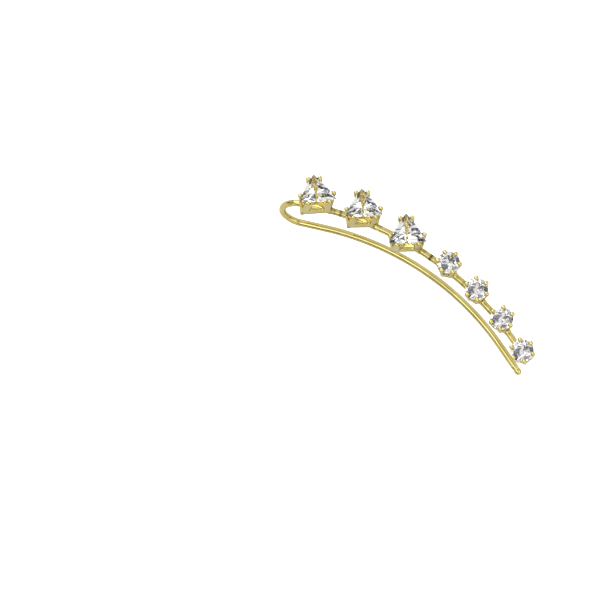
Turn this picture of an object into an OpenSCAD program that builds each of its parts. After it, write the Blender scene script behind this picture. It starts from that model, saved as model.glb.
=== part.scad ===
// Ear climber: a bowed front bar with three trillion-cut and four round stones in
// claw baskets, and a long ear wire that runs back behind the bar.
// Millimetres, +Z up. The climber rests on its ear wire with the stones up.
// +X runs from the closed bend to the free end of the wire, +Y is the outer side of the bow.

/* [Wire] */
// Diameter of the bar and of the ear wire
wire_d = 0.8; // [0.7:0.05:1.0]
// Centre-line radius of the closed bend that joins the bar to the ear wire
bend_r = 2.4; // [2.3:0.1:2.8]
// Sideways lean of the closed bend, in degrees
bend_lean = 6.5; // [0:0.5:8]

/* [Front bar] */
// Straight run of the bar next to the closed bend
bar_lead = 1.0; // [0.5:0.1:2]
// Radius of the bow of the front bar
bar_bow_r = 36.5; // [34:0.5:42]

/* [Ear wire] */
// Straight run of the ear wire next to the closed bend
wire_lead = 2.6; // [1:0.1:4]
// Radius of the bow of the ear wire
wire_bow_r = 32.5; // [31:0.5:38]
// Length of the bowed run of the ear wire
wire_bow_len = 25.3; // [23:0.1:26]
// Length of the straight free end, with its round tip
tail_len = 4.0; // [3.5:0.1:5]

/* [Settings] */
// Distance of the first trillion basket from the closed bend
first_station = 1.25; // [1:0.05:1.6]
// Spacing of the trillion baskets along the bar
trillion_pitch = 5.65; // [5.4:0.05:6]
// Spacing of the round baskets along the bar
round_pitch = 4.45; // [4.1:0.05:4.8]
// Height of the trillion girdles above the bar's centre line
trillion_rise = 2.6; // [2.5:0.05:2.8]
// Height of the round girdles above the bar's centre line
round_rise = 2.45; // [2.4:0.05:2.6]

/* [Stones] */
// Distance from the middle of a trillion stone to its corners
trillion_r = 2.4; // [2.35:0.01:2.45]
// Diameter of the round stones
round_d = 2.6; // [2.3:0.05:2.6]

/* [Claws] */
// Diameter of a claw's bead on a trillion basket
trillion_bead_d = 0.56; // [0.5:0.02:0.6]
// Diameter of a claw on a round basket
round_claw_d = 0.52; // [0.44:0.02:0.56]

/* [Hidden] */
$fn = 64;
wire_r = wire_d / 2;

// Two runs of wire meet in a joint: a ball no thicker than the wire to the eye,
// so that the runs themselves can stop a hair short of each other
joint_swell = 0.012;
joint_gap = 0.02;

// Groove near the free end of the ear wire
groove_at = 0.7;
groove_w = 0.28;
groove_depth = 0.09;

// Where the ear wire meets the closed bend, from the middle of the whole climber
junction = [-13.31, 4.9, wire_r + joint_swell];

// Trillion outline: bowed sides, corners trimmed by a circle
trillion_side_r = 14;
trillion_in_r = 1.38;
// Half of the angle that a bowed side turns through
trillion_bow = 8.6;
trillion_girdle = 0.08;
trillion_crown = 0.44;
trillion_pavilion = 1.5;
// Segments of a bowed side's circle, few enough to leave the stone's edge in facets
trillion_side_fn = 90;

// Facets of the trillion's crown: degrees off the middle of a side, slope
trillion_crown_facets = [[0, 33], [5, 40], [34, 33], [60, 29]];
trillion_star_r = 0.7;
trillion_star_angle = 20;
// Facets of its pavilion: degrees off the middle of a side, depth at which the plane meets the axis
trillion_pavilion_facets = [[0, 1.62], [4, 1.8], [20, 1.56], [42, 1.6], [60, 1.54]];

round_r = round_d / 2;
round_girdle = 0.06;
round_crown = 0.38;
round_pavilion = 1.08;
crown_angle = 34.5;
star_angle = 21;
upper_half_angle = 40;
pavilion_angle = 41;
lower_half_angle = 42.5;

// Clear distance kept between a stone and its basket
stone_gap = 0.05;

// Trillion basket: a floor, and on each side a plate that leans out, narrows upwards
// and is cut open by a window, with a claw left at each end
floor_in_r = 1.0;
floor_corner_r = 1.9;
floor_top = 0.25;
plate_foot_r = 1.05;
plate_foot = -0.3;
plate_lean = 12;
plate_t = 0.34;
plate_foot_half = 1.78;
plate_top_half = 1.54;
window_half = 0.86;
window_corner_r = 0.25;
gallery_top = 0.62;
claw_top = 2.62;
claw_at = 1.27;
claw_in = 0.15;
// The floor starts a hair above the plates' foot
floor_step = 0.02;

// Groove in the claws in which a trillion's edge lies: how far it reaches beyond the edge,
// how far in it goes on, and the slopes of its upper and lower side
groove_beyond = 0.03;
groove_inside = 0.5;
groove_upper_slope = 40;
groove_lower_slope = 52;

// Round basket: a turned cup with six claws
cup_r = 1.1;
cup_foot_r = 0.88;
cup_bottom = -0.25;
cup_top = 0.82;
cup_bore_r = 0.5;
cup_floor = 0.5;
claw_foot_r = 0.84;
claw_tip_r = 1.3;
claw_tip_above = 0.16;
claw_bead_d = 0.56;
// Top of the space kept clear for a round stone: its radius as a share of the stone's,
// and its height above the table
pocket_top_share = 0.5;
pocket_above = 0.22;

// How each setting sits on the bar, from the closed bend on, in degrees:
// lean to the outer side of the bow, lean to the closed bend, turn about its own axis,
// and, in millimetres, how far a trillion basket stands off the bar's centre line
trillion_lean = [14.5, 12, 4];
trillion_back = [0, 3, 4];
trillion_turn = [21, 25, 33];
trillion_out = [0.2, 0.3, -0.05];
round_lean = [-0.5, -4, -6, -10];
round_turn = [0, -12, -16, 10];

trillion_stations = [for (i = [0:2]) first_station + i * trillion_pitch];
round_stations = [for (i = [0:3]) first_station + 3 * trillion_pitch + i * round_pitch];
// The bar ends inside the last basket, this far past its middle
bar_past = 0.7;
bar_len = round_stations[3] + bar_past;

gold = [0.86, 0.78, 0.45];
clear = [0.90, 0.93, 0.96, 0.75];

// Ear wire, closed bend and bar
module bowed_run(bow_r, run) {
    turn = run / bow_r * 180 / PI;
    translate([0, -bow_r, 0])
        rotate(90 - turn)
            rotate_extrude(angle = turn)
                translate([bow_r, 0]) circle(r = wire_r);
}

module after_bow(bow_r, run) {
    translate([0, -bow_r, 0])
        rotate(-run / bow_r * 180 / PI)
            translate([0, bow_r, 0])
                children();
}

module joint() {
    sphere(r = wire_r + joint_swell);
}

module straight_run(run) {
    translate([joint_gap, 0, 0])
        rotate([0, 90, 0])
            cylinder(r = wire_r, h = run - 2 * joint_gap);
}

// The free end: a straight wire, a shallow groove and a round tip
module wire_tail() {
    rotate([0, 90, 0])
        rotate_extrude()
            difference() {
                union() {
                    translate([0, joint_gap])
                        square([wire_r, tail_len - wire_r - joint_gap]);
                    intersection() {
                        translate([0, tail_len - wire_r]) circle(r = wire_r);
                        square([wire_r, tail_len]);
                    }
                }
                translate([wire_r, tail_len - groove_at - groove_w / 2])
                    polygon([[-groove_depth, 0], [groove_depth, -groove_w], [groove_depth, groove_w]]);
            }
}

module ear_wire() {
    joint();
    straight_run(wire_lead);
    translate([wire_lead, 0, 0]) {
        joint();
        bowed_run(wire_bow_r, wire_bow_len);
        after_bow(wire_bow_r, wire_bow_len) {
            joint();
            wire_tail();
        }
    }
}

module closed_bend() {
    rotate([-bend_lean, 0, 0])
        translate([0, 0, bend_r])
            rotate([90, 0, 0])
                rotate(90)
                    rotate_extrude(angle = 180)
                        translate([bend_r, 0]) circle(r = wire_r);
}

// The start of the bar, above the start of the ear wire
module at_bar() {
    translate([0, 2 * bend_r * sin(bend_lean), 2 * bend_r * cos(bend_lean)])
        children();
}

module front_bar() {
    joint();
    straight_run(bar_lead);
    translate([bar_lead, 0, 0]) {
        joint();
        bowed_run(bar_bow_r, bar_len - bar_lead);
    }
}

module at_station(s) {
    translate([bar_lead, 0, 0])
        after_bow(bar_bow_r, s - bar_lead)
            children();
}

module at_trillion(i) {
    translate(junction)
        at_bar()
            at_station(trillion_stations[i])
                rotate([-trillion_lean[i], 0, 0])
                    rotate([0, -trillion_back[i], 0])
                        rotate(trillion_turn[i])
                            translate([0, trillion_out[i], 0])
                                children();
}

module at_round(i) {
    translate(junction)
        at_bar()
            at_station(round_stations[i])
                rotate([-round_lean[i], 0, 0])
                    rotate(round_turn[i])
                        children();
}

// Trillion basket
module bowed_triangle(in_r, corner_r, side_fn = 180) {
    intersection() {
        circle(r = corner_r);
        intersection_for(a = [0, 120, 240])
            rotate(a)
                translate([0, trillion_side_r - in_r])
                    circle(r = trillion_side_r, $fn = side_fn);
    }
}

module basket_window() {
    window_foot = (gallery_top - plate_foot) / cos(plate_lean);
    for (x = [-1, 1])
        translate([x * (window_half - window_corner_r), window_foot + window_corner_r])
            circle(r = window_corner_r);
    translate([-window_half + window_corner_r, window_foot])
        square([2 * (window_half - window_corner_r), claw_top]);
    translate([-window_half, window_foot + window_corner_r])
        square([2 * window_half, claw_top]);
}

// One side of the basket, with the beads of its two claws
module basket_side() {
    plate_len = (claw_top - plate_foot) / cos(plate_lean);
    translate([0, -plate_foot_r, plate_foot])
        rotate([plate_lean, 0, 0]) {
            translate([0, plate_t, 0])
                rotate([90, 0, 0])
                    linear_extrude(height = plate_t)
                        difference() {
                            polygon([
                                [-plate_foot_half, 0],
                                [plate_foot_half, 0],
                                [plate_top_half, plate_len],
                                [-plate_top_half, plate_len],
                            ]);
                            basket_window();
                        }
            for (x = [-1, 1])
                translate([x * claw_at, claw_in, plate_len])
                    sphere(d = trillion_bead_d);
        }
}

// The groove in which the edge of the stone lies, along one side
module trillion_groove() {
    edge = trillion_in_r + groove_beyond;
    inner = edge - groove_inside;
    low = trillion_rise - stone_gap;
    high = trillion_rise + trillion_girdle + stone_gap;
    rotate([90, 0, 90])
        translate([0, 0, -plate_foot_half])
            linear_extrude(height = 2 * plate_foot_half)
                polygon([
                    [-edge, low],
                    [-edge, high],
                    [-inner, high + groove_inside * tan(groove_upper_slope)],
                    [-inner, low - groove_inside * tan(groove_lower_slope)],
                ]);
}

module trillion_basket() {
    translate([0, 0, plate_foot + floor_step])
        linear_extrude(height = floor_top - plate_foot - floor_step)
            bowed_triangle(floor_in_r, floor_corner_r);
    for (a = [0, 120, 240])
        rotate(a)
            difference() {
                basket_side();
                trillion_groove();
            }
}

// Round basket
module round_pocket() {
    rotate_extrude()
        polygon([
            [0, round_rise - round_pavilion - stone_gap],
            [round_r + stone_gap, round_rise - stone_gap],
            [round_r + stone_gap, round_rise + round_girdle + stone_gap],
            [round_r * pocket_top_share, round_rise + round_crown + pocket_above],
            [0, round_rise + round_crown + pocket_above],
        ]);
}

module round_cup() {
    difference() {
        translate([0, 0, cup_bottom])
            cylinder(r1 = cup_foot_r, r2 = cup_r, h = cup_top - cup_bottom);
        translate([0, 0, cup_floor])
            cylinder(r = cup_bore_r, h = cup_top);
    }
}

module round_claw() {
    tip_z = round_rise + claw_tip_above;
    reach = sqrt(pow(claw_tip_r - claw_foot_r, 2) + tip_z * tip_z);
    tilt = atan((claw_tip_r - claw_foot_r) / tip_z);
    translate([claw_foot_r, 0, 0])
        rotate([0, tilt, 0]) {
            cylinder(d = round_claw_d, h = reach);
            translate([0, 0, reach]) sphere(d = claw_bead_d);
        }
}

module round_basket() {
    difference() {
        union() {
            round_cup();
            for (a = [30:60:330])
                rotate(a) round_claw();
        }
        round_pocket();
    }
}

// One cut: all that lies outside a plane through a point goes.
// The plane faces +X and leans "angle" degrees from level.
module facet_cut(at, angle) {
    cut = 8;
    translate(at)
        rotate([0, angle, 0])
            translate([-cut, -cut, 0])
                cube([2 * cut, 2 * cut, cut]);
}

// Round brilliant: girdle at height zero, table up
module round_brilliant() {
    table_r = (round_r - round_crown / tan(crown_angle)) * cos(22.5);
    top = round_girdle + round_crown;
    hull() difference() {
        translate([0, 0, -round_pavilion])
            cylinder(r = round_r, h = round_pavilion + top, $fn = 48);
        for (a = [0:45:315])
            rotate(a) {
                facet_cut([round_r, 0, round_girdle], crown_angle);
                facet_cut([round_r, 0, 0], 180 - pavilion_angle);
                rotate(22.5) facet_cut([table_r, 0, top], star_angle);
            }
        for (a = [11.25:22.5:348.75])
            rotate(a) {
                facet_cut([round_r, 0, round_girdle], upper_half_angle);
                facet_cut([round_r, 0, 0], 180 - lower_half_angle);
            }
    }
}

// How far the trillion outline reaches in a direction that is d degrees off the middle of a side
function trillion_reach(d) =
    d < trillion_bow
        ? trillion_side_r - (trillion_side_r - trillion_in_r) * cos(d)
        : trillion_r * cos(60 - d);

// Trillion brilliant: girdle at height zero, table up, one corner at +Y
module trillion_brilliant() {
    top = trillion_girdle + trillion_crown;
    hull() difference() {
        translate([0, 0, -trillion_pavilion])
            linear_extrude(height = trillion_pavilion + top)
                bowed_triangle(trillion_in_r, trillion_r, trillion_side_fn);
        for (a = [30, 150, 270])
            rotate(a) {
                facet_cut([trillion_star_r, 0, top], trillion_star_angle);
                for (side = [-1, 1]) {
                    for (f = trillion_crown_facets)
                        rotate(side * f[0])
                            facet_cut([trillion_reach(f[0]), 0, trillion_girdle], f[1]);
                    for (f = trillion_pavilion_facets)
                        rotate(side * f[0])
                            facet_cut([trillion_reach(f[0]), 0, 0], 180 - atan(f[1] / trillion_reach(f[0])));
                }
            }
    }
}

module climber_frame() {
    color(gold)
        union() {
            translate(junction) {
                ear_wire();
                closed_bend();
                at_bar() front_bar();
            }
            for (i = [0:2]) at_trillion(i) trillion_basket();
            for (i = [0:3]) at_round(i) round_basket();
        }
}

module trillion_stone(i) {
    color(clear) at_trillion(i) translate([0, 0, trillion_rise]) trillion_brilliant();
}

module round_stone(i) {
    color(clear) at_round(i) translate([0, 0, round_rise]) round_brilliant();
}

climber_frame();
trillion_stone(0);  // trillion_stone_1
trillion_stone(1);  // trillion_stone_2
trillion_stone(2);  // trillion_stone_3
round_stone(0);  // round_stone_1
round_stone(1);  // round_stone_2
round_stone(2);  // round_stone_3
round_stone(3);  // round_stone_4
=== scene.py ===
import math
import bpy
import bmesh
from mathutils import Matrix, Vector
from mathutils.kdtree import KDTree


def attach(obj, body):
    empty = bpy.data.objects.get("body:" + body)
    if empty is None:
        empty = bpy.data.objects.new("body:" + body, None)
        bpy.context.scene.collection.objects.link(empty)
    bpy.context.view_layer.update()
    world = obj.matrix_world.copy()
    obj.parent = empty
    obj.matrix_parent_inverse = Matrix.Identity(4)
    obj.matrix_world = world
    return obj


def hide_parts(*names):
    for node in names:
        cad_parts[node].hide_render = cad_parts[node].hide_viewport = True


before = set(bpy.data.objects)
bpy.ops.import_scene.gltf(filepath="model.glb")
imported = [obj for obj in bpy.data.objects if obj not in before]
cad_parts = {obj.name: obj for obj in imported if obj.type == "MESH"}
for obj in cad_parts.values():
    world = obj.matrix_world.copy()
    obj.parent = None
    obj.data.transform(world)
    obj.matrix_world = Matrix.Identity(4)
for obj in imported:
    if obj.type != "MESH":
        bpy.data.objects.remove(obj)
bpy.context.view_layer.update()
mm = 0.001

# sizes repeated from the part's source, in millimetres and degrees
climber = {
    "wireRadius": 0.4,
    "start": (-13.31, 4.9, 0.412),  # where the ear wire meets the closed bend
    "bendRadius": 2.4,
    "bendLean": 6.5,
    "wireLead": 2.6,
    "wireBow": 32.5,
    "wireBowLength": 25.3,
    "tail": 4.0,
    "barLead": 1.0,
    "barBow": 36.5,
    "barLength": 32.25,
    "trillionAt": (1.25, 6.9, 12.55),
    "trillionLean": (14.5, 12, 4),
    "trillionBack": (0, 3, 4),
    "trillionTurn": (21, 25, 33),
    "trillionOut": (0.2, 0.3, -0.05),
    "roundAt": (18.2, 22.65, 27.1, 31.55),
    "roundLean": (-0.5, -4, -6, -10),
    "roundTurn": (0, -12, -16, 10),
    # a trillion basket's plates and claws
    "plateOut": 1.05,  # from the basket's axis to the plate's foot
    "plateFoot": -0.3,
    "plateHalf": 0.17,  # half its thickness
    "plateLean": 12,
    "plateSlope": 0.2126,  # the tangent of that lean
    "plateTurns": (0, 120, 240),
    "clawTop": 2.62,
    "clawIn": 0.15,
    "clawAcross": 1.27,
    "roundClawTurns": (30, 90, 150, 210, 270, 330),
}


def turned(axis, degrees):
    return Matrix.Rotation(math.radians(degrees), 4, axis)


def moved(x, y, z):
    return Matrix.Translation((x, y, z))


def alongBow(bow, run):
    return moved(0, -bow, 0) @ turned("Z", -math.degrees(run / bow)) @ moved(0, bow, 0)


def barStart():
    c = climber
    lean = math.radians(c["bendLean"])
    rise = 2 * c["bendRadius"]
    return moved(*c["start"]) @ moved(0, rise * math.sin(lean), rise * math.cos(lean))


def barPlace(s):
    # where the bar is, s millimetres from the closed bend
    c = climber
    if s <= c["barLead"]:
        return barStart() @ moved(s, 0, 0)
    return barStart() @ moved(c["barLead"], 0, 0) @ alongBow(c["barBow"], s - c["barLead"])


def wirePlace(s):
    # where the ear wire is, s millimetres from the closed bend
    c = climber
    begin = moved(*c["start"])
    if s <= c["wireLead"]:
        return begin @ moved(s, 0, 0)
    begin = begin @ moved(c["wireLead"], 0, 0)
    run = min(s - c["wireLead"], c["wireBowLength"])
    return begin @ alongBow(c["wireBow"], run) @ moved(s - c["wireLead"] - run, 0, 0)


def trillionPlace(i):
    c = climber
    return (barPlace(c["trillionAt"][i]) @ turned("X", -c["trillionLean"][i])
            @ turned("Y", -c["trillionBack"][i]) @ turned("Z", c["trillionTurn"][i])
            @ moved(0, c["trillionOut"][i], 0))


def roundPlace(i):
    c = climber
    return (barPlace(c["roundAt"][i]) @ turned("X", -c["roundLean"][i])
            @ turned("Z", c["roundTurn"][i]))


trillions = [trillionPlace(i) for i in range(len(climber["trillionAt"]))]
rounds = [roundPlace(i) for i in range(len(climber["roundAt"]))]


# materials
def newMaterial(name):
    material = bpy.data.materials.new(name)
    material.use_nodes = True
    tree = material.node_tree
    tree.nodes.clear()
    shader = tree.nodes.new("ShaderNodeBsdfPrincipled")
    output = tree.nodes.new("ShaderNodeOutputMaterial")
    tree.links.new(shader.outputs["BSDF"], output.inputs["Surface"])
    return material, tree, shader


def noiseOf(tree, scale, detail, roughness=0.5):
    coordinates = tree.nodes.new("ShaderNodeTexCoord")
    noise = tree.nodes.new("ShaderNodeTexNoise")
    noise.inputs["Scale"].default_value = scale
    noise.inputs["Detail"].default_value = detail
    noise.inputs["Roughness"].default_value = roughness
    tree.links.new(coordinates.outputs["Object"], noise.inputs["Vector"])
    return noise.outputs["Fac"]


def measureOf(tree, name):
    node = tree.nodes.new("ShaderNodeAttribute")
    node.attribute_name = name
    return node.outputs["Fac"]


def rampOf(tree, source, stops):
    ramp = tree.nodes.new("ShaderNodeValToRGB")
    for n, (at, colour) in enumerate(stops):
        if n < 2:  # a new ramp has two stops
            stop = ramp.color_ramp.elements[n]
            stop.position = at
        else:
            stop = ramp.color_ramp.elements.new(at)
        stop.color = (*colour, 1)
    tree.links.new(source, ramp.inputs["Fac"])
    return ramp.outputs["Color"]


def rangeOf(tree, source, span, result, kind="LINEAR"):
    node = tree.nodes.new("ShaderNodeMapRange")
    node.interpolation_type = kind
    for name, value in zip(("From Min", "From Max", "To Min", "To Max"), (*span, *result)):
        node.inputs[name].default_value = value
    tree.links.new(source, node.inputs["Value"])
    return node.outputs["Result"]


def mathOf(tree, operation, a, b=0.0):
    node = tree.nodes.new("ShaderNodeMath")
    node.operation = operation
    for n, source in enumerate((a, b)):
        if isinstance(source, (int, float)):
            node.inputs[n].default_value = source
        else:
            tree.links.new(source, node.inputs[n])
    return node.outputs["Value"]


def mixOf(tree, share, under, over):
    # over lies on under, each a colour or a socket; 0, 6, 7 and 2 are the colour mix's sockets
    node = tree.nodes.new("ShaderNodeMix")
    node.data_type = "RGBA"
    tree.links.new(share, node.inputs[0])
    for n, source in ((6, under), (7, over)):
        if isinstance(source, tuple):
            node.inputs[n].default_value = (*source, 1)
        else:
            tree.links.new(source, node.inputs[n])
    return node.outputs[2]


# each noise is its scale, detail and, for the haze, roughness; each span is the part of it used
goldLook = {
    "pale": (0.66, 0.57, 0.235),
    "warm": (0.57, 0.475, 0.16),
    "cloud": (260, 3),
    "cloudSpan": (0.3, 0.7),
    "recessShade": (0.68, 0.56, 0.22),  # painted shade deep inside the baskets: a tint for light bounced between the gold walls
    "seamShade": (0.07, 0.04, 0.012),  # painted shade in the corners of the baskets, along the line above the foot rail and at the solder
    "haze": (900, 4, 0.6),
    "hazeSpan": (0.3, 0.75),
    "roughness": (0.05, 0.15),
    "ripples": (700, 2),
    "rippleHeight": 0.035,  # in millimetres
    "scratches": (9000, 2),
    "scratchHeight": 0.04,  # this and the next as shares of the ripples' height
    "railDepth": 4.5,
}


def goldMaterial():
    look = goldLook
    material, tree, shader = newMaterial("polishedGold")
    shader.inputs["Metallic"].default_value = 1.0
    stops = zip(look["cloudSpan"], (look["warm"], look["pale"]))
    tone = rampOf(tree, noiseOf(tree, *look["cloud"]), stops)
    # painted shade: a tint deep inside the baskets, for light bounced between the gold walls
    tone = mixOf(tree, measureOf(tree, "recessShadeDepth"), tone, look["recessShade"])
    # painted shade: a dark tint in the basket corners, along the line above the foot rail and
    # beside the solder
    tone = mixOf(tree, measureOf(tree, "paintedSeamShade"), tone, look["seamShade"])
    tree.links.new(tone, shader.inputs["Base Color"])
    haze = rangeOf(tree, noiseOf(tree, *look["haze"]), look["hazeSpan"], look["roughness"])
    tree.links.new(haze, shader.inputs["Roughness"])
    ripples = noiseOf(tree, *look["ripples"])
    scratches = mathOf(tree, "MULTIPLY", noiseOf(tree, *look["scratches"]), look["scratchHeight"])
    rail = mathOf(tree, "MULTIPLY", measureOf(tree, "railGroove"), look["railDepth"])
    height = mathOf(tree, "SUBTRACT", mathOf(tree, "ADD", ripples, scratches), rail)
    bump = tree.nodes.new("ShaderNodeBump")
    bump.inputs["Strength"].default_value = 1.0
    bump.inputs["Distance"].default_value = look["rippleHeight"] * mm
    tree.links.new(height, bump.inputs["Height"])
    tree.links.new(bump.outputs["Normal"], shader.inputs["Normal"])
    return material


# lengths in millimetres
# a stone's colour holds painted reflections: black and grey patches are painted dark reflections,
# white ones painted bright reflections
stoneLook = {
    "roundBend": 2.15,  # refractive index
    "trillionBend": 1.7,
    "facet": 0.55,  # usual width of a painted patch of light or shade in a stone
    "black": (0.02, 0.022, 0.03),
    "grey": (0.80, 0.81, 0.83),
    "white": (0.97, 0.96, 0.94),
    "stops": (0.0, 0.36, 0.44, 0.72),  # where black, grey, the stone's own tint and white begin
    "roundLift": 0.2,  # the more lift, the fewer painted black reflections
    "trillionLift": (0.12, 0.45),  # in the lower corners and elsewhere
    "middle": (0.3, 0.36),  # the lower corners lie farther than this from the middle line
    "lower": (0.3, 0.45),  # and lower than this
    "paintedGoldBand": (0.93, 0.92, 0.62),  # painted reflection of the gold floor, as seen through the middle of a trillion stone
    "bandSpan": (0.3, 0.24),
    "bandShare": (0.0, 0.85),
    "polish": (2500, 2),
    "polishSpan": (0.45, 0.8),
    "roughness": (0.0, 0.02),
    # each stone's own tint, on most of its painted bright facets
    "tints": {
        "trillion_stone_1": (0.95, 0.96, 0.95),
        "trillion_stone_2": (0.95, 0.96, 0.96),
        "trillion_stone_3": (0.94, 0.95, 0.99),
        "round_stone_1": (0.93, 0.95, 0.90),
        "round_stone_2": (0.97, 0.92, 0.91),
        "round_stone_3": (0.96, 0.92, 0.92),
        "round_stone_4": (0.96, 0.92, 0.91),
    },
}


def inMetres(span):
    return [length * mm for length in span]


def stoneMaterial(name, place):
    look = stoneLook
    isTrillion = "trillion" in name
    material, tree, shader = newMaterial("clear_" + name)
    inverse = place.inverted()
    coordinates = tree.nodes.new("ShaderNodeTexCoord")
    centred = tree.nodes.new("ShaderNodeMapping")  # the pattern lies square to the stone
    centred.inputs["Location"].default_value = inverse.translation * mm
    centred.inputs["Rotation"].default_value = inverse.to_euler("XYZ")
    tree.links.new(coordinates.outputs["Object"], centred.inputs["Vector"])
    cells = tree.nodes.new("ShaderNodeTexVoronoi")
    cells.inputs["Scale"].default_value = 1 / (look["facet"] * mm)
    tree.links.new(centred.outputs["Vector"], cells.inputs["Vector"])
    chance = tree.nodes.new("ShaderNodeSeparateColor")
    tree.links.new(cells.outputs["Color"], chance.inputs["Color"])
    lift = look["roundLift"]
    if isTrillion:  # the painted shade lies low down, on both sides of the middle
        split = tree.nodes.new("ShaderNodeSeparateXYZ")
        tree.links.new(centred.outputs["Vector"], split.inputs["Vector"])
        across = mathOf(tree, "ABSOLUTE", split.outputs["X"])
        central = rangeOf(tree, across, inMetres(look["middle"]), (1.0, 0.0))
        above = rangeOf(tree, split.outputs["Y"], inMetres(look["lower"]), (0.0, 1.0))
        elsewhere = mathOf(tree, "MAXIMUM", central, above)
        lift = rangeOf(tree, elsewhere, (0.0, 1.0), look["trillionLift"])
    shades = (look["black"], look["grey"], look["tints"][name], look["white"])
    # painted reflections: each cell of the stone gets black, grey, its own tint or white
    chance = mathOf(tree, "ADD", chance.outputs["Red"], lift)
    paintedFacets = rampOf(tree, chance, zip(look["stops"], shades))
    paintedFacets.node.color_ramp.interpolation = "CONSTANT"
    # painted reflection of the gold floor down the middle of a trillion stone
    if isTrillion:
        paintedGoldBand = rangeOf(tree, across, inMetres(look["bandSpan"]), look["bandShare"])
        paintedFacets = mixOf(tree, paintedGoldBand, paintedFacets, look["paintedGoldBand"])
    tree.links.new(paintedFacets, shader.inputs["Base Color"])
    polish = rangeOf(tree, noiseOf(tree, *look["polish"]), look["polishSpan"], look["roughness"])
    tree.links.new(polish, shader.inputs["Roughness"])
    shader.inputs["Transmission Weight"].default_value = 1.0
    shader.inputs["IOR"].default_value = look["trillionBend" if isTrillion else "roundBend"]
    return material


gold = goldMaterial()
print("gold made")

# soldered gold: the wire, the bar and the seven baskets, fused and rounded as if cast
# lengths in millimetres
metal = {
    "weld": 0.0005,
    "voxel": 0.08,
    "smoothing": 3,
    "smoothingShare": 0.5,
    # the bar again, a little thicker where solder joins it to a basket
    "barSteps": 640,
    "barAround": 32,
    "barShort": 0.3,  # how far it stops short of the bar's end
    "barUnder": 0.01,  # how far it lies under the bar's skin where there is no solder
    "solderSwell": 0.07,
    "solderSpread": 0.28,
    "trillionEdges": (-1.25, 1.75),  # where the bar leaves a trillion basket
    "roundEdges": (-0.98, 0.98),
    # claw tips
    "tipRoundness": 3,
    "trillionBead": 0.29,  # radius
    # balls that fill out a round basket's claw: distance from its axis, height, radius
    "roundClaw": ((1.1, 1.5, 0.24), (1.16, 1.75, 0.24), (1.22, 2.0, 0.24), (1.29, 2.22, 0.24),
                  (1.31, 2.42, 0.26), (1.24, 2.62, 0.29)),
    # plain wire, brought back to its true radius
    "wirePoints": 1100,
    "bendPoints": 300,
    "wireEnd": 1.5,  # length with the groove and the round tip, left as it is
    "wireSkin": (0.3, 0.44),  # how far from the wire's middle its skin may lie
    "basketReach": 2.6,  # nothing this near a basket's middle is moved,
    "basketBottom": 3.0,  # if it's higher than this
}


def newTree(name, inputs):
    # a node tree with named inputs: name, kind and value
    tree = bpy.data.node_groups.new(name, "GeometryNodeTree")
    tree.interface.new_socket("Geometry", in_out="INPUT", socket_type="NodeSocketGeometry")
    for label, kind, value in inputs:
        socket = tree.interface.new_socket(label, in_out="INPUT", socket_type="NodeSocket" + kind)
        if value is not None:
            socket.default_value = value
    tree.interface.new_socket("Geometry", in_out="OUTPUT", socket_type="NodeSocketGeometry")
    return tree, tree.nodes.new("NodeGroupInput"), tree.nodes.new("NodeGroupOutput")


def endTree(tree, begin, end, shape):
    # every tree ends in Realize Instances and Set Material
    realize = tree.nodes.new("GeometryNodeRealizeInstances")
    paint = tree.nodes.new("GeometryNodeSetMaterial")
    tree.links.new(shape, realize.inputs["Geometry"])
    tree.links.new(realize.outputs["Geometry"], paint.inputs["Geometry"])
    tree.links.new(begin.outputs["Material"], paint.inputs["Material"])
    tree.links.new(paint.outputs["Geometry"], end.inputs["Geometry"])


def attributeOf(tree, name):
    node = tree.nodes.new("GeometryNodeInputNamedAttribute")
    node.data_type = "FLOAT"
    node.inputs["Name"].default_value = name
    return node.outputs["Attribute"]


def barTree():
    # a round bar along a path, as thick as the path's barRadius says
    inputs = [("Around", "Int", metal["barAround"]), ("Material", "Material", None)]
    tree, begin, end = newTree("sweptBar", inputs)
    line = tree.nodes.new("GeometryNodeMeshToCurve")
    circle = tree.nodes.new("GeometryNodeCurvePrimitiveCircle")
    circle.inputs["Radius"].default_value = 1.0
    sweep = tree.nodes.new("GeometryNodeCurveToMesh")
    sweep.inputs["Fill Caps"].default_value = True
    tree.links.new(begin.outputs["Geometry"], line.inputs["Mesh"])
    tree.links.new(begin.outputs["Around"], circle.inputs["Resolution"])
    tree.links.new(line.outputs["Curve"], sweep.inputs["Curve"])
    tree.links.new(circle.outputs["Curve"], sweep.inputs["Profile Curve"])
    tree.links.new(attributeOf(tree, "barRadius"), sweep.inputs["Scale"])
    endTree(tree, begin, end, sweep.outputs["Mesh"])
    return tree


def clawTree():
    # a rounded tip on each point, as large as the point's tipRadius says
    inputs = [("Roundness", "Int", metal["tipRoundness"]), ("Material", "Material", None)]
    tree, begin, end = newTree("clawTips", inputs)
    points = tree.nodes.new("GeometryNodeMeshToPoints")
    tip = tree.nodes.new("GeometryNodeMeshIcoSphere")
    tip.inputs["Radius"].default_value = 1.0
    place = tree.nodes.new("GeometryNodeInstanceOnPoints")
    tree.links.new(begin.outputs["Geometry"], points.inputs["Mesh"])
    tree.links.new(begin.outputs["Roundness"], tip.inputs["Subdivisions"])
    tree.links.new(points.outputs["Points"], place.inputs["Points"])
    tree.links.new(tip.outputs["Mesh"], place.inputs["Instance"])
    tree.links.new(attributeOf(tree, "tipRadius"), place.inputs["Scale"])
    endTree(tree, begin, end, place.outputs["Instances"])
    return tree


def applyModifiers(piece):
    graph = bpy.context.evaluated_depsgraph_get()
    finished = bpy.data.meshes.new_from_object(piece.evaluated_get(graph))
    piece.modifiers.clear()
    old = piece.data
    piece.data = finished
    bpy.data.meshes.remove(old)


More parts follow.
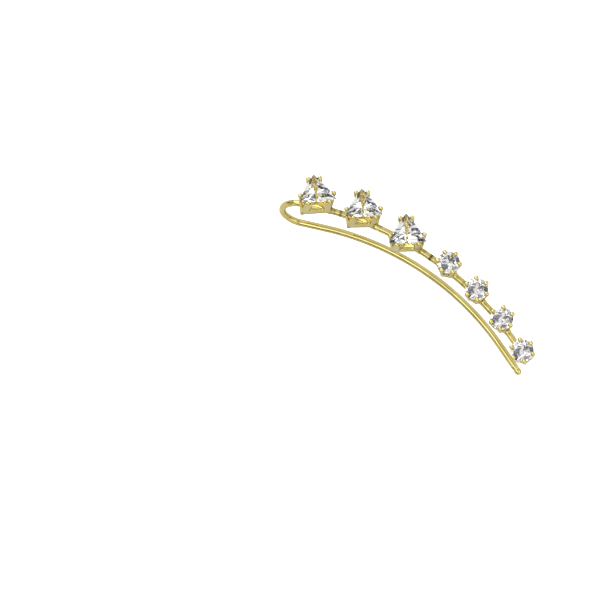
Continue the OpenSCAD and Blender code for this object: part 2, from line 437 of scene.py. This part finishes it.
def grownMesh(name, points, edges, attribute, values, tree):
    # points with a value each go into a tree, and a plain mesh comes out
    mesh = bpy.data.meshes.new(name)
    mesh.from_pydata([tuple(point * mm) for point in points], edges, [])
    layer = mesh.attributes.new(attribute, "FLOAT", "POINT")
    layer.data.foreach_set("value", [value * mm for value in values])
    piece = bpy.data.objects.new(name, mesh)
    bpy.context.scene.collection.objects.link(piece)
    modifier = piece.modifiers.new(name, "NODES")
    modifier.node_group = tree
    modifier[tree.interface.items_tree["Material"].identifier] = gold
    applyModifiers(piece)
    grown = piece.data
    bpy.data.objects.remove(piece)
    return grown


def solderedBar():
    c, m = climber, metal
    edges = [at + side for at in c["trillionAt"] for side in m["trillionEdges"]]
    edges += [at + side for at in c["roundAt"] for side in m["roundEdges"]]
    steps = m["barSteps"]
    last = c["barLength"] - m["barShort"]
    points, radii = [], []
    for n in range(steps + 1):
        s = last * n / steps
        swell = max(math.exp(-((s - edge) / m["solderSpread"]) ** 2) for edge in edges)
        points.append(barPlace(s).translation)
        radii.append(c["wireRadius"] + m["solderSwell"] * swell - m["barUnder"])
    lines = [(n, n + 1) for n in range(steps)]
    return grownMesh("solderedBar", points, lines, "barRadius", radii, barTree())


def clawTips():
    # the tips of the claws, pressed over the edges of the stones
    c = climber
    lean = math.radians(c["plateLean"])
    up = (c["clawTop"] - c["plateFoot"]) / math.cos(lean)
    y = -c["plateOut"] + c["clawIn"] * math.cos(lean) - up * math.sin(lean)
    z = c["plateFoot"] + c["clawIn"] * math.sin(lean) + up * math.cos(lean)
    points, radii = [], []
    for place in trillions:
        for angle in c["plateTurns"]:
            for x in (-c["clawAcross"], c["clawAcross"]):
                points.append((place @ turned("Z", angle) @ moved(x, y, z)).translation)
                radii.append(metal["trillionBead"])
    for place in rounds:
        for angle in c["roundClawTurns"]:
            for out, high, radius in metal["roundClaw"]:
                points.append((place @ turned("Z", angle) @ moved(out, 0, high)).translation)
                radii.append(radius)
    return grownMesh("clawTips", points, [], "tipRadius", radii, clawTree())


def roundWires(piece):
    # what lies on the plain wire is brought back to the wire's true radius
    c, m = climber, metal
    length = c["wireLead"] + c["wireBowLength"] + c["tail"]
    lastOnWire, lastOnBend = m["wirePoints"] - 1, m["bendPoints"] - 1
    centres = [wirePlace((length - m["wireEnd"]) * n / lastOnWire).translation
               for n in range(m["wirePoints"])]
    bend = moved(*c["start"]) @ turned("X", -c["bendLean"])
    for n in range(m["bendPoints"]):
        a = math.pi * n / lastOnBend
        arc = Vector((-c["bendRadius"] * math.sin(a), 0, c["bendRadius"] * (1 - math.cos(a))))
        centres.append(bend @ arc)
    tree = KDTree(len(centres))
    for n, centre in enumerate(centres):
        tree.insert(centre, n)
    tree.balance()
    middles = [barPlace(s).translation for s in (*c["trillionAt"], *c["roundAt"])]
    least, most = m["wireSkin"]
    for vertex in piece.data.vertices:
        point = vertex.co / mm
        centre, n, away = tree.find(point)
        if n == lastOnWire or not least < away < most:
            continue
        toBasket = min((point - middle).length for middle in middles)
        if toBasket < m["basketReach"] and point.z > m["basketBottom"]:
            continue
        vertex.co = (centre + (point - centre) * (c["wireRadius"] / away)) * mm


# what the gold's material is told about each point, for its painted shade: how deep it lies inside
# a basket, how near the line above the foot rail, and how near a shaded corner or a painted shade
# mark beside the solder; lengths in millimetres
marking = {
    "above": 4.0,  # the bar and the baskets lie higher than this
    "trillionReach": 2.6,
    "trillionHeights": (-0.6, 3.0),
    "wallFade": 4,  # a point is fully inside 1/4 mm from the wall
    "rim": 2.2,
    "rimFade": 2,
    "railAt": -0.02,  # the line that parts the foot rail from the gallery above it
    "railWidth": 0.11,
    # how dark the painted shade along that line is
    "railShade": 0.4,
    "cornerWidth": 0.22,  # painted shade up each corner of a trillion basket
    "cornerShade": 0.55,
    "cornerOut": 0.1,
    "cornerTop": 1.9,
    "cupHeights": (0.45, 2.6),
    "cupWall": 0.72,
    "cupSlope": 0.2,
    # painted shade and a painted dark reflection on the bar beside the solder: place along the
    # bar, width, darkness
    "shadeMarks": ((4.35, 0.15, 0.8), (15.9, 0.17, 1.0), (20.7, 0.13, 0.4), (25.1, 0.13, 0.4)),
    "markReach": 0.55,
}
sine60 = 0.866


def clamped(value):
    return min(1, max(0, value))


def inTrillion(p):
    # p's depth in a trillion basket, and its nearness to the line and to a corner
    c, m = climber, marking
    low, high = m["trillionHeights"]
    if math.hypot(p.x, p.y) >= m["trillionReach"] or not low < p.z < high:
        return 0.0, 0.0, 0.0
    side = max(-p.y, abs(p.x) * sine60 + p.y * 0.5)
    wall = c["plateOut"] + (p.z - c["plateFoot"]) * c["plateSlope"] - c["plateHalf"]
    deep = clamped((wall - side) * m["wallFade"]) * clamped((m["rim"] - p.z) * m["rimFade"])
    line = seamShade = 0.0
    if side > wall:
        line = math.exp(-((p.z - m["railAt"]) / m["railWidth"] * 2) ** 2)
    # painted shade up the corners between the plates
    if side > wall + m["cornerOut"] and p.z < m["cornerTop"]:
        off = abs(abs(p.x) * 0.5 + p.y * sine60)
        if p.y > 0:
            off = min(off, abs(p.x))
        seamShade = m["cornerShade"] * math.exp(-(off / m["cornerWidth"]) ** 2)
    return deep, line, seamShade


def inRound(p):
    # p's depth in a round basket
    m = marking
    low, high = m["cupHeights"]
    if not low < p.z < high:
        return 0.0
    wall = m["cupWall"] + m["cupSlope"] * p.z
    return clamped((wall - math.hypot(p.x, p.y)) * m["wallFade"])


def markPoints(piece):
    m = marking
    intoTrillions = [place.inverted() for place in trillions]
    intoRounds = [place.inverted() for place in rounds]
    shadeMarks = [(barPlace(s).inverted(), width, dark) for s, width, dark in m["shadeMarks"]]
    layers = {"recessShadeDepth": [], "railGroove": [], "paintedSeamShade": []}
    for vertex in piece.data.vertices:
        point = vertex.co / mm
        deep = line = seamShade = 0.0
        if point.z > m["above"]:
            found = [inTrillion(place @ point) for place in intoTrillions]
            deep, line, seamShade = (max(values) for values in zip(*found))
            deep = max(deep, *(inRound(place @ point) for place in intoRounds))
            # painted shade and a painted dark reflection on the bar beside the solder
            for place, width, dark in shadeMarks:
                p = place @ point
                if math.hypot(p.y, p.z) < m["markReach"]:
                    seamShade = max(seamShade, dark * math.exp(-(p.x / width) ** 2))
        layers["recessShadeDepth"].append(deep)
        layers["railGroove"].append(line)
        layers["paintedSeamShade"].append(max(seamShade, m["railShade"] * line))
    for name, values in layers.items():
        layer = piece.data.attributes.new(name, "FLOAT", "POINT")
        layer.data.foreach_set("value", values)


def goldFrame():
    mesh = bmesh.new()
    mesh.from_mesh(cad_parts["climber_frame"].data)
    bmesh.ops.remove_doubles(mesh, verts=mesh.verts, dist=metal["weld"] * mm)
    for extra in (solderedBar(), clawTips()):
        mesh.from_mesh(extra)
        bpy.data.meshes.remove(extra)
    data = bpy.data.meshes.new("goldFrame")
    mesh.to_mesh(data)
    mesh.free()
    piece = bpy.data.objects.new("goldFrame", data)
    bpy.context.scene.collection.objects.link(piece)
    remesh = piece.modifiers.new("fuse", "REMESH")
    remesh.mode = "VOXEL"
    remesh.voxel_size = metal["voxel"] * mm
    remesh.use_smooth_shade = True
    soften = piece.modifiers.new("soften", "SMOOTH")
    soften.factor = metal["smoothingShare"]
    soften.iterations = metal["smoothing"]
    applyModifiers(piece)
    roundWires(piece)
    markPoints(piece)
    piece.data.materials.clear()
    piece.data.materials.append(gold)
    piece.data.polygons.foreach_set("use_smooth", [True] * len(piece.data.polygons))
    return piece


goldPiece = goldFrame()
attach(goldPiece, "root")
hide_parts("climber_frame")
triangles = sum(len(face.vertices) - 2 for face in goldPiece.data.polygons)
print("gold frame made:", triangles, "triangles")


# stones: the cut solids stay, and take the clear stone's material, with painted reflections in its
# colour
def finishStones(kind, places):
    for n, place in enumerate(places, start=1):
        name = "%s_stone_%d" % (kind, n)
        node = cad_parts[name]
        node.data.materials.clear()
        node.data.materials.append(stoneMaterial(name, place))


finishStones("trillion", trillions)
finishStones("round", rounds)
print("stones finished")

# floor and lights, in metres and watts
studio = {
    "floorSize": 3.0,
    "floorDrop": 0.00002,
    "floorTones": ((0.70, 0.70, 0.70), (0.74, 0.74, 0.735)),
    "floorGrain": (40, 4),
    "floorSpan": (0.3, 0.7),
    "floorRoughness": 0.9,
    "floorShine": 0.1,
    "glow": 0.8,  # light of its own that the floor sends straight to the camera
    # power, width and place
    "keyLight": (1.7, 0.55, (-0.3, 0.28, 0.42)),
    "fillLight": (0.6, 0.5, (0.42, -0.12, 0.36)),
}


def floorMaterial():
    material, tree, shader = newMaterial("paleFloor")
    grain = noiseOf(tree, *studio["floorGrain"])
    tone = rampOf(tree, grain, zip(studio["floorSpan"], studio["floorTones"]))
    tree.links.new(tone, shader.inputs["Base Color"])
    shader.inputs["Roughness"].default_value = studio["floorRoughness"]
    shader.inputs["Specular IOR Level"].default_value = studio["floorShine"]
    shader.inputs["Emission Color"].default_value = (1, 1, 1, 1)
    seen = tree.nodes.new("ShaderNodeLightPath").outputs["Is Camera Ray"]
    glow = mathOf(tree, "MULTIPLY", seen, studio["glow"])
    tree.links.new(glow, shader.inputs["Emission Strength"])
    return material


def makeFloor():
    bpy.ops.mesh.primitive_plane_add(size=studio["floorSize"], location=(0, 0, 0))
    floor = bpy.context.object
    floor.name = "paleFloor"
    floor.data.transform(moved(0, 0, -studio["floorDrop"]))
    floor.data.materials.append(floorMaterial())


def makeLight(name):
    watts, width, place = studio[name]
    data = bpy.data.lights.new(name, "AREA")
    data.shape = "DISK"
    data.size = width
    data.energy = watts
    light = bpy.data.objects.new(name, data)
    bpy.context.scene.collection.objects.link(light)
    light.location = place
    light.rotation_mode = "QUATERNION"
    light.rotation_quaternion = (-Vector(place)).to_track_quat("-Z", "Y")


# an even white tent, with patches in it: direction, half angle and softness in degrees, brightness
tent = {
    "white": 0.9,
    "patches": [
        ((-0.05, -0.98, 0.13), 12, 3, 0.02),  # the dark line along the ear wire
        ((-0.4, -0.9, 0.13), 12, 3, 0.02),
        ((-0.69, -0.71, 0.13), 12, 3, 0.02),
        ((0.95, 0.1, 0.2), 14, 5, 0.1),  # shade to the right and left
        ((-0.95, 0.1, 0.2), 14, 5, 0.1),
        ((-0.014, -0.633, 0.774), 8, 2, 3.2),  # the highlight beside the dark line
        ((-0.27, -0.52, 0.80), 8, 2, 3.2),
        ((-0.5, -0.33, 0.79), 8, 2, 3.2),
    ],
}


def patchOf(tree, way, towards, halfAngle, soft):
    dot = tree.nodes.new("ShaderNodeVectorMath")
    dot.operation = "DOT_PRODUCT"
    dot.inputs[1].default_value = Vector(towards).normalized()
    tree.links.new(way, dot.inputs[0])
    edges = [math.cos(math.radians(halfAngle + side * soft)) for side in (1, -1)]
    return rangeOf(tree, dot.outputs["Value"], edges, (0.0, 1.0), "SMOOTHSTEP")


def makeSky():
    world = bpy.data.worlds.new("whiteTent")
    bpy.context.scene.world = world
    world.use_nodes = True
    tree = world.node_tree
    way = tree.nodes.new("ShaderNodeTexCoord").outputs["Generated"]
    light = (tent["white"],) * 3
    for towards, halfAngle, soft, value in tent["patches"]:
        light = mixOf(tree, patchOf(tree, way, towards, halfAngle, soft), light, (value,) * 3)
    tree.links.new(light, tree.nodes["Background"].inputs["Color"])


makeFloor()
makeSky()
makeLight("keyLight")
makeLight("fillLight")
print("studio made")

# camera: at the photograph's angle, lengths in millimetres
camera = {
    "centre": (-0.31, 2.9, 3.412),
    "right": (0.975712, 0.210941, 0.059085),
    "up": (-0.218382, 0.915445, 0.338037),
    "distance": 400.0,
    "aimRight": -12.525,  # from the centre to the middle of the picture
    "aimUp": -5.195,
    "pixelsPerMillimetre": 8.75,
    "pictureWidth": 600,
    "sensor": 36,
    "clip": (0.01, 20),  # in metres
}


def makeCamera():
    c = camera
    right, up = Vector(c["right"]).normalized(), Vector(c["up"]).normalized()
    centre = Vector(c["centre"])
    place = centre + right.cross(up).normalized() * c["distance"]
    aim = centre + right * c["aimRight"] + up * c["aimUp"]
    back = (place - aim).normalized()
    right = up.cross(back).normalized()
    up = back.cross(right)
    data = bpy.data.cameras.new("camera")
    data.sensor_width = c["sensor"]
    data.lens = c["sensor"] * c["distance"] * c["pixelsPerMillimetre"] / c["pictureWidth"]
    data.clip_start, data.clip_end = c["clip"]
    eye = bpy.data.objects.new("camera", data)
    bpy.context.scene.collection.objects.link(eye)
    turn = Matrix((right, up, back)).transposed().to_4x4()
    eye.matrix_world = Matrix.Translation(place * mm) @ turn
    bpy.context.scene.camera = eye


makeCamera()
# keeps the white white and the gold yellow
bpy.context.scene.view_settings.view_transform = "Standard"
print("camera made")
